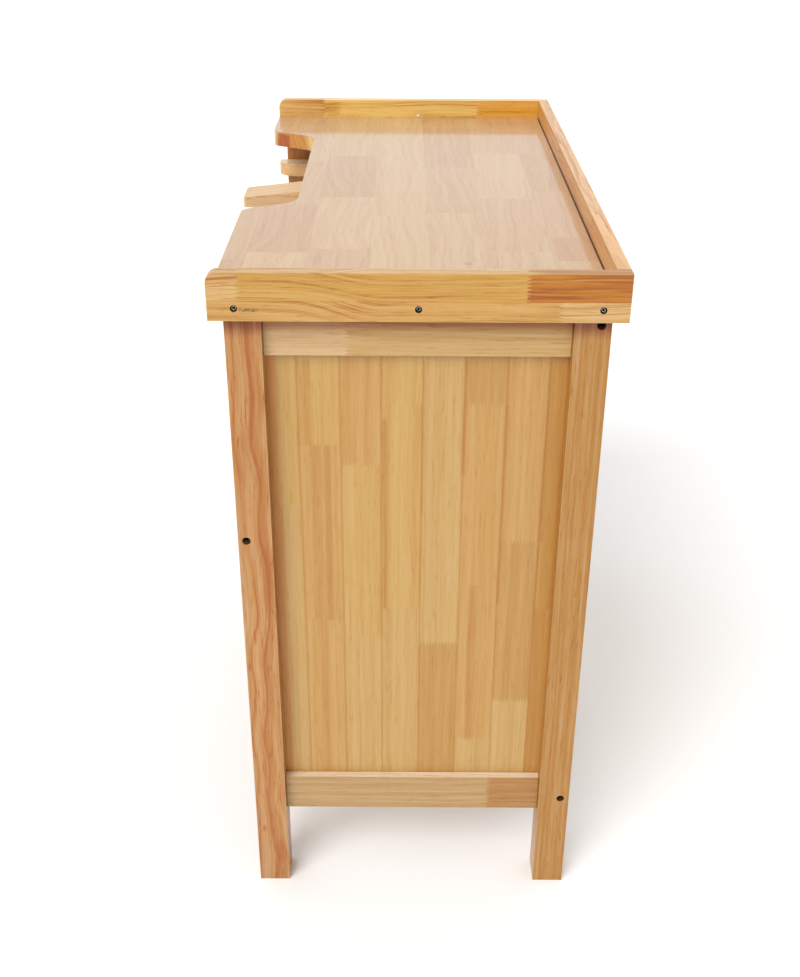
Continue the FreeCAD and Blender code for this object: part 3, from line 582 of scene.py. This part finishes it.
def rim_woods():
    bold = {"streak": 0.30, "rings": 0.26, "lines": 1.3, "fibre": 0.45, "pores": 0.4, "ring_pitch": 6.5,
            "warp": 9.0, "bends": 3.0, "dark": (0.66, 0.42, 0.18)}
    wood("rim_right", "Y", "Z", in_metres(RIM_STRIPS), near_rim_marks, sweep=(-135, -30, 19), **bold)
    wood("rim_left", "Y", "Z", in_metres(FAR_RIM_STRIPS), far_rim_marks, **bold)
    wood("rim_back", "X", "Z", None, back_rim_marks, strip=30, block=330, tones=["copper", "peach"], **bold)


# Across the panel, along it, and how dark.
PANEL_STRIPES = (
    ((-106, -99), (470, 742), 0.55),
    ((-94, -91), (470, 742), 0.45),
    ((-119, -117), (470, 742), 0.35),
    ((-31, -26), (490, 780), 0.6),
    ((86, 99), (260, 530), 0.4),
    ((-138, -122), (742, 860), 0.4),
    ((19, 23), (640, 860), 0.4),
    ((70, 77), (700, 860), 0.4),
    ((125, 129), (500, 800), 0.4),
    ((176, 182), (600, 860), 0.35),
)
LEG_SHADOW_PAINTED = (1.0, 0.61, 0.20, 1.0)       # painted shadow beside the legs, where they shade the panel
UNDER_RIM_SHADE = (0.60, 0.31, 0.10, 1.0)     # painted shade under the rim


def panel_marks(graph, position, shade, tone):
    """Darker stripes in some staves, and painted shadow along the legs."""
    for across, along, depth in PANEL_STRIPES:
        mark = stripe(graph, position, ("Y",) + across, ("Z",) + along)
        shade = graph.math("MULTIPLY_ADD", mark, depth, shade)
    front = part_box("leg_front_right")[1][1]
    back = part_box("leg_back_right")[0][1]
    # Painted shadow: the panel is darkened beside each leg.
    painted_shade = graph.math("SUBTRACT", 1.0, graph.band(position[1], front + 12 * MM, back, 4 * MM))
    return shade, graph.tinted(graph.math("MULTIPLY", painted_shade, 0.8), tone, LEG_SHADOW_PAINTED)


def under_rim_shade(graph, position, shade, tone):
    """Painted shade under the rim, darkest just below it."""
    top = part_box("rim_right")[0][2]
    painted_shade = graph.ramp(position[2], top - 31 * MM, top - 9 * MM)
    return shade, graph.tinted(painted_shade, tone, UNDER_RIM_SHADE)


# Height and depth of each, half its size that way, and how dark.
LEG_KNOTS = (
    ((105, -211), (9, 4), 1.0),
    ((222, -204), (34, 4), 0.5),
    ((735, -210), (60, 9), 0.4),
    ((545, -186), (70, 10), 0.5),
    ((60, -186), (36, 11), 0.5),
)


def leg_knots(graph, position, shade, tone):
    """Knots and patches of dark grain, and painted shade under the rim."""
    for place, size, depth in LEG_KNOTS:
        mark = knot(graph, position[2], position[1], place, size)
        shade = graph.math("MULTIPLY_ADD", mark, depth, shade)
    return under_rim_shade(graph, position, shade, tone)


CURLY = {"warp": 22.0, "bends": 3.4, "ring_pitch": 10.0, "rings": 0.44, "lines": 0.7, "streak": 0.6,
         "pores": 0.8}
MILD = {**CURLY, "rings": 0.30, "streak": 0.38}
STRAIGHT = {"warp": 5.0, "streak": 0.32, "rings": 0.16, "lines": 0.3}
# Some legs get painted shade under the rim.
LEGS = {                                # tone, marks and look
    "front_right": ("sorrel", leg_knots, CURLY),
    # Partly painted light: this leg's tone is brighter and more orange than the others'.
    "front_left": ("lit_ember", None, MILD),
    "back_right": ("tawny", under_rim_shade, STRAIGHT),
    "back_left": ("tawny", under_rim_shade, STRAIGHT),
}


def frame_woods():
    for place, (tone, marks, look) in LEGS.items():
        wood(f"leg_{place}", "Z", "Y", None, marks, strip=60, block=3000, tones=[tone],
             dark=(0.82, 0.51, 0.26), **look)
    for side in ("left", "right"):
        # The top rails get painted shade under the rim.
        wood(f"side_rail_top_{side}", "Y", "Z", in_metres(TOP_RAIL_STRIPS), under_rim_shade)
        # The bottom rails' upward faces get strong painted light.
        wood(f"side_rail_bottom_{side}", "Y", "Z", in_metres(BOTTOM_RAIL_STRIPS), rubbed=0.7)
    for name in ("back_rail_top", "back_rail_bottom", "front_rail"):
        wood(name, "X", "Z", strip=60, block=420)
    for side in ("left", "right"):
        wood(f"side_panel_{side}", "Z", "Y", in_metres(PANEL_STAVES), panel_marks, streak=0.22, rings=0.11,
             lines=0.22, fibre=0.30, pores=0.34, ring_pitch=9.0, warp=5.0, glue=1.5)
    wood("back_panel", "Z", "X", strip=52, block=300, fibre=0.40, pores=0.36)


def cabinet_woods():
    wood("cabinet_partition", "Y", "Z", strip=60, block=300)
    wood("cabinet_fascia", "X", "Z", strip=80, block=900)
    for level in ("top", "middle", "bottom"):
        box_woods(f"drawer_{level}")
        wood(f"drawer_{level}_knob", "Y", "X", strip=60, block=900, tones=["sorrel"])
        for side in ("left", "right"):
            wood(f"drawer_runner_{level}_{side}", "Y", "X", strip=60, block=900)
    box_woods("tray")
    for side in ("left", "right"):
        wood(f"tray_runner_{side}", "Y", "X", strip=60, block=900)


def box_woods(box):
    wood(f"{box}_front", "X", "Z", strip=80, block=330)
    wood(f"{box}_back", "X", "Z", strip=80, block=900)
    wood(f"{box}_bottom", "X", "Y", strip=80, block=900, tones=["bone"])
    for side in ("left", "right"):
        wood(f"{box}_side_{side}", "Y", "Z", strip=80, block=900)


def arm_rest_and_pin_woods():
    for side in ("left", "right"):
        # The arm rests' upward faces get strong painted light.
        wood(f"arm_rest_{side}", "Y", "X", strip=60, block=900, tones=["butter"], rubbed=0.8, soak=0.3)
        wood(f"arm_rest_keepers_{side}", "X", "Z", strip=90, block=900, tones=["ginger"])
    wood("bench_pin", "Y", "X", strip=90, block=900, tones=["almond"], coat=0.1, rubbed=0.0, soak=0.3)
    wood("bench_pin_block", "X", "Z", strip=90, block=900, tones=["wheat"])


# ---- metal ----

MOTTLE_SCALE = 900.0    # per metre
GRIME_SCALE = 260.0


def zinc(name, tone=(247, 246, 246), rough=0.58, metallic=1.0, stain=0.55):
    graph = Graph(name)
    spot = graph.add("TexCoord").outputs["Object"]
    mottle = graph.noise(spot, MOTTLE_SCALE, detail=3.0)
    grime = graph.ramp(graph.noise(spot, GRIME_SCALE), 0.45, 0.75)
    light, dark = linear(tone), linear(tuple(value * stain for value in tone))
    colour = graph.mix(grime, graph.mix(mottle, dark, light), dark)
    shine = graph.math("MULTIPLY_ADD", mottle, 0.2, rough - 0.1)
    bump = graph.add("Bump", {"Height": mottle, "Strength": 0.15, "Distance": 0.05 * MM})
    return graph.finish(Base_Color=colour, Metallic=metallic, Roughness=shine, Normal=bump.outputs[0])


# ---- heads of screws and bolts ----

SIDES_ROUND = 48
HEAD_RINGS = 15
FLAT_SHARE = 0.66       # the bare face of a head to its whole width; its bevel is painted black as shade
HEAD_SHARE = 0.074      # length of a head to its whole screw or bolt
CROWN = 0.06            # how far the face of a head falls to its edge, to its radius
DEEP_SHARE = 0.15       # a recess deeper than this, to the radius, is painted black as shade
NEAR_END = 0.1 * MM     # points this near one end of a screw lie on that end
BARE, HEAD_SHADE, BRIGHT = 0, 1, 2       # materials of a head: bare, painted shade, and bright


def cross_recess(u, v, size):
    """Depth of a cross drive at a point of a head of that radius."""
    wide, long, wall = size * 0.20, size * 0.60, size * 0.12
    arms = [clamp((wide * (1.4 - 0.4 * b / long) - a) / wall) * clamp((long - b) / wall)
            for a, b in ((abs(u), abs(v)), (abs(v), abs(u)))]
    return max(arms) * size * 0.42


def hex_recess(u, v, size):
    """Depth of a hexagon socket at a point of a head of that radius."""
    turns = (0.0, math.pi / 3, 2 * math.pi / 3)
    reach = max(abs(u * math.cos(turn) + v * math.sin(turn)) for turn in turns)
    return clamp((size * 0.5 - reach) / (0.08 * size)) * size * 0.6


def clamp(value):
    return min(1.0, max(0.0, value))


def round_points(radius, turn=0.0):
    """Points round a circle, as (u, v)."""
    angles = [2 * math.pi * step / SIDES_ROUND + turn for step in range(SIDES_ROUND)]
    return [(radius * math.cos(angle), radius * math.sin(angle)) for angle in angles]


def head_rings(size, long, shank, recess, turn):
    """Rings of points of one screw along -Z, from the middle of its head, at 0, to its tip."""
    rings = []
    for number in range(1, HEAD_RINGS + 1):
        share = number / HEAD_RINGS
        radius = size * FLAT_SHARE * share
        crown = CROWN * size * share ** 2
        rings.append([(x, y, -crown - recess(u, v, size))
                      for (x, y), (u, v) in zip(round_points(radius), round_points(radius, turn))])
    head = HEAD_SHARE * long
    outline = [(size * 0.72, -head * 0.10), (size * 0.90, -head * 0.32), (size * 0.98, -head * 0.45),
               (size * 0.96, -head * 0.62), (shank * 1.15, -head), (shank, -head * 1.2),
               (shank, -long + shank), (shank * 0.5, -long + shank * 0.3)]
    for radius, height in outline:
        rings.append([(x, y, height) for x, y in round_points(radius)])
    return rings


def add_head(form, points, recess, shank_share, turn):
    """One screw or bolt in the place of one CAD solid."""
    spans = box_of(points)
    axis = max(range(3), key=lambda a: spans[a][1] - spans[a][0])
    others = [a for a in range(3) if a != axis]
    size = (spans[others[0]][1] - spans[others[0]][0]) / 2
    middle = [(low + high) / 2 for low, high in spans]
    first, last = spans[axis]

    def girth(end):
        near = [point for point in points if abs(point[axis] - end) < NEAR_END]
        return max(abs(point[a] - middle[a]) for point in near for a in others)

    outward = 1.0 if girth(last) > girth(first) else -1.0
    middle[axis] = last if outward > 0 else first
    direction = Vector([outward if a == axis else 0.0 for a in range(3)])
    place = Matrix.Translation(middle) @ direction.to_track_quat("Z", "Y").to_matrix().to_4x4()
    long = last - first
    rings = head_rings(size, long, size * shank_share, recess, turn)
    centre = form.verts.new(place @ Vector((0.0, 0.0, -recess(0.0, 0.0, size))))
    made = [[form.verts.new(place @ Vector(point)) for point in ring] for ring in rings]
    tip = form.verts.new(place @ Vector((0.0, 0.0, -long)))
    for step in range(SIDES_ROUND):
        after = (step + 1) % SIDES_ROUND
        angle = 2 * math.pi * (step + 0.5) / SIDES_ROUND + turn
        form.faces.new((centre, made[0][step], made[0][after])).material_index = HEAD_SHADE
        form.faces.new((tip, made[-1][after], made[-1][step])).material_index = HEAD_SHADE
        for number, (inner, outer) in enumerate(zip(made, made[1:]), 1):
            face = form.faces.new((inner[step], outer[step], outer[after], inner[after]))
            radius = size * FLAT_SHARE * (number + 0.5) / HEAD_RINGS
            sunk = recess(radius * math.cos(angle), radius * math.sin(angle), size) > DEEP_SHARE * size
            face.material_index = HEAD_SHADE if sunk or number >= HEAD_RINGS else BARE


def make_heads(name, node, recess, shank_share, bare, head_shade_metal, bright):
    """Detailed heads for all the screws or bolts of one CAD node."""
    form = bmesh.new()
    rng = random.Random(name)
    for points in FASTENERS[node]:
        before = len(form.faces)
        add_head(form, points, recess, shank_share, rng.uniform(0.0, math.pi))
        if is_proud(points):
            for face in list(form.faces)[before:]:
                face.material_index = BRIGHT
    for face in form.faces:
        face.smooth = True
    mesh = bpy.data.meshes.new(name)
    form.to_mesh(mesh)
    form.free()
    for material in (bare, head_shade_metal, bright):
        mesh.materials.append(material)
    piece = bpy.data.objects.new(name, mesh)
    bpy.context.scene.collection.objects.link(piece)
    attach(piece, "bench")
    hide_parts(node)


# ---- soft edges on the CAD nodes ----

EDGE_ROUND = 1 * MM


def soften(node):
    thing = NODES[node]
    weld = thing.modifiers.new("weld", "WELD")
    weld.merge_threshold = SAME_POINT
    flat = thing.modifiers.new("whole_faces", "DECIMATE")
    flat.decimate_type = "DISSOLVE"
    flat.angle_limit = math.radians(1)
    bevel = thing.modifiers.new("soft_edges", "BEVEL")
    bevel.width = EDGE_ROUND
    bevel.segments = 2
    bevel.limit_method = "ANGLE"
    bevel.angle_limit = math.radians(50)
    bevel.harden_normals = True


# ---- floor, light, camera ----

FLOOR_HALF = 30.0       # metres
CLOUD_SCALE = 1.2       # of the floor's faint clouds, per metre


def make_floor():
    mesh = bpy.data.meshes.new("floor")
    form = bmesh.new()
    bmesh.ops.create_grid(form, x_segments=8, y_segments=8, size=FLOOR_HALF)
    form.to_mesh(mesh)
    form.free()
    floor = bpy.data.objects.new("floor", mesh)
    bpy.context.scene.collection.objects.link(floor)
    graph = Graph("pale_floor")
    spot = graph.add("TexCoord").outputs["Object"]
    cloud = graph.noise(spot, CLOUD_SCALE)
    colour = graph.mix(cloud, (0.955, 0.955, 0.955, 1.0), (0.975, 0.975, 0.975, 1.0))
    mesh.materials.append(graph.finish(Base_Color=colour, Roughness=0.8))


KEY_TOWARDS = (0.64, -0.40, 0.62)       # from the bench
KEY_SOFTNESS = 40.0                     # degrees across
KEY_STRENGTH = 2.2


def make_sun(name, towards, softness, strength):
    """Light from a very large, far softbox; towards points from the bench to it."""
    light = bpy.data.lights.new(name, "SUN")
    light.energy = strength
    light.angle = math.radians(softness)
    thing = bpy.data.objects.new(name, light)
    thing.rotation_mode = "QUATERNION"
    thing.rotation_quaternion = Vector(towards).to_track_quat("Z", "Y")
    bpy.context.scene.collection.objects.link(thing)


BACK_WALL_LIGHT = 1.05      # white backdrop behind the bench, at its left-hand end
FRONT_WALL_LIGHT = 0.32     # the camera's side of the studio
CEILING_LIGHT = 0.95
BACKDROP_LIGHT = 0.93       # the plain backdrop as the camera sees it


def make_world():
    """A studio with a white backdrop, a dimmer camera side and a pale ceiling."""
    world = bpy.data.worlds.new("studio")
    bpy.context.scene.world = world
    world.use_nodes = True
    tree = world.node_tree
    background = tree.nodes["Background"]
    background.inputs[0].default_value = (1.0, 1.0, 1.0, 1.0)
    direction = tree.nodes.new("ShaderNodeTexCoord")
    split = tree.nodes.new("ShaderNodeSeparateXYZ")
    tree.links.new(direction.outputs["Generated"], split.inputs[0])
    walls = world_fade(tree, split.outputs[0], (-0.5, 0.5), BACK_WALL_LIGHT, FRONT_WALL_LIGHT)
    light = world_fade(tree, split.outputs[2], (0.25, 0.95), walls, CEILING_LIGHT)
    seen = tree.nodes.new("ShaderNodeLightPath").outputs["Is Camera Ray"]
    tree.links.new(world_fade(tree, seen, (0.0, 1.0), light, BACKDROP_LIGHT), background.inputs[1])


def world_fade(tree, value, span, first, second):
    """First where value is at the low end of span, second at its high end."""
    fade = tree.nodes.new("ShaderNodeMapRange")
    fade.interpolation_type = "SMOOTHSTEP"
    tree.links.new(value, fade.inputs[0])
    fade.inputs[1].default_value, fade.inputs[2].default_value = span
    for socket, light in ((fade.inputs[3], first), (fade.inputs[4], second)):
        if isinstance(light, bpy.types.NodeSocket):
            tree.links.new(light, socket)
        else:
            socket.default_value = light
    return fade.outputs[0]


CAMERA_PLACE = (1.8759, -0.0074, 1.4554)
CAMERA_PITCH = 28.683       # degrees below the horizon
CAMERA_YAW = -0.039         # degrees from looking straight along -X
CAMERA_ROLL = 0.289         # degrees
CAMERA_LENS = 45.5          # millimetres, for 36 mm along the picture's long side


def make_camera():
    data = bpy.data.cameras.new("camera")
    data.sensor_fit = "AUTO"
    data.sensor_width = 36.0
    data.lens = CAMERA_LENS
    data.clip_end = 200.0
    pitch, yaw, roll = (math.radians(a) for a in (CAMERA_PITCH, CAMERA_YAW, CAMERA_ROLL))
    ahead = Vector((-math.cos(pitch) * math.cos(yaw), math.cos(pitch) * math.sin(yaw), -math.sin(pitch)))
    level = Vector((math.sin(yaw), math.cos(yaw), 0.0))
    upright = level.cross(ahead)
    right = level * math.cos(roll) + upright * math.sin(roll)
    up = upright * math.cos(roll) - level * math.sin(roll)
    turn = Matrix((right, up, -ahead)).transposed()
    camera = bpy.data.objects.new("camera", data)
    camera.matrix_world = Matrix.Translation(CAMERA_PLACE) @ turn.to_4x4()
    bpy.context.scene.collection.objects.link(camera)
    bpy.context.scene.camera = camera


worktop_wood()
rim_woods()
frame_woods()
cabinet_woods()
arm_rest_and_pin_woods()
# Painted shade: near-black metal for the bevels and deep recesses of the heads.
head_shade_black = zinc("head_shade_black", (34, 31, 30), 0.65)
# Partly painted light: the proud screw is bright zinc, made near-white and barely metallic to stand in for
# its glint.
zinc_with_painted_glint = zinc("zinc_with_painted_glint", (255, 246, 232), 0.7, 0.1, 0.92)
make_heads("rim_screw_heads", "rim_screws", cross_recess, 0.52,
           zinc("zinc_screws"), head_shade_black, zinc_with_painted_glint)
steel = zinc("zinc_bolts", (150, 148, 148))
make_heads("frame_bolt_heads", "frame_bolts", hex_recess, 0.58, steel, head_shade_black, steel)
dress("barrel_nuts", steel)
for wooden in NODES:
    if wooden not in ("rim_screws", "frame_bolts", "barrel_nuts"):
        soften(wooden)
make_floor()
make_world()
make_sun("key", KEY_TOWARDS, KEY_SOFTNESS, KEY_STRENGTH)
make_camera()
scene = bpy.context.scene
scene.view_settings.view_transform = "Standard"
